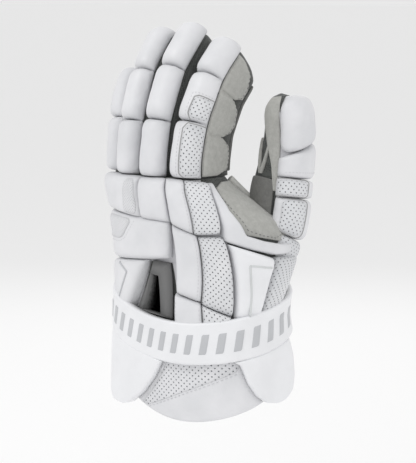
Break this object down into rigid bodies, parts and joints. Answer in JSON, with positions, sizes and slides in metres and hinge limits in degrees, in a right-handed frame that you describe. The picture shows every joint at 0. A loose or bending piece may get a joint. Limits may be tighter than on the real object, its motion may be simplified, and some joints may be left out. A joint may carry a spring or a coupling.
{
  "type": "lacrosse glove",
  "caption": "Padded left-hand lacrosse glove with segmented finger pads, suede web, vented wrist and floating cuff with a moulded band, held fingers up.",
  "frame": {"origin": "middle of the wrist opening, where a hand goes in", "axes": "+Z from the wrist to the fingertips, the back of the hand faces -Y, the thumb is at +X"},
  "size_m": [0.1601, 0.1136, 0.293],
  "materials": {
    "mesh_fabric": "open knitted mesh",
    "suede": "brushed suede",
    "perforated_leather": "perforated, matte",
    "white_leather": "smooth, lightly grained",
    "moulded_cuff": "moulded, satin",
    "vent": "matte"
  },
  "bodies": {
    "root": {"back_pad_middle": "white_leather", "back_pad_outer": "white_leather", "back_perforated": "perforated_leather", "cuff_bell": "white_leather", "index_base_pad": "white_leather", "index_middle_pad": "white_leather", "index_palm_suede": "suede", "index_sleeve": "mesh_fabric", "index_suede_panel": "suede", "index_tip_pad": "white_leather", "knuckle_pad_index": "white_leather", "knuckle_pad_middle": "white_leather", "knuckle_pad_outer": "white_leather", "knuckle_perforated": "perforated_leather", "middle_base_pad": "white_leather", "middle_middle_pad": "white_leather", "middle_palm_suede": "suede", "middle_sleeve": "mesh_fabric", "middle_tip_pad": "white_leather", "outer_tab": "moulded_cuff", "palm_shell": "mesh_fabric", "palm_suede_outer": "suede", "palm_suede_thumb": "suede", "pinky_base_pad": "white_leather", "pinky_palm_suede": "suede", "pinky_sleeve": "mesh_fabric", "pinky_tip_pad": "white_leather", "ring_base_pad": "white_leather", "ring_middle_pad": "white_leather", "ring_palm_suede": "suede", "ring_sleeve": "mesh_fabric", "ring_tip_pad": "white_leather", "side_perforated": "perforated_leather", "thumb_bend_pad": "white_leather", "thumb_lower_perforated": "perforated_leather", "thumb_middle_perforated": "perforated_leather", "thumb_shield": "moulded_cuff", "thumb_sleeve": "mesh_fabric", "thumb_suede_inner": "suede", "thumb_suede_strip": "suede", "thumb_tab": "moulded_cuff", "thumb_tip_pad": "white_leather", "thumb_upper_perforated": "perforated_leather", "vent_frame": "vent", "web_binding": "suede", "web_pad": "white_leather", "web_suede_panel": "suede", "wrist_band": "moulded_cuff", "wrist_pad_middle": "white_leather", "wrist_pad_outer": "white_leather", "wrist_perforated": "perforated_leather", "wrist_shell": "mesh_fabric"}
  },
  "joints": []
}
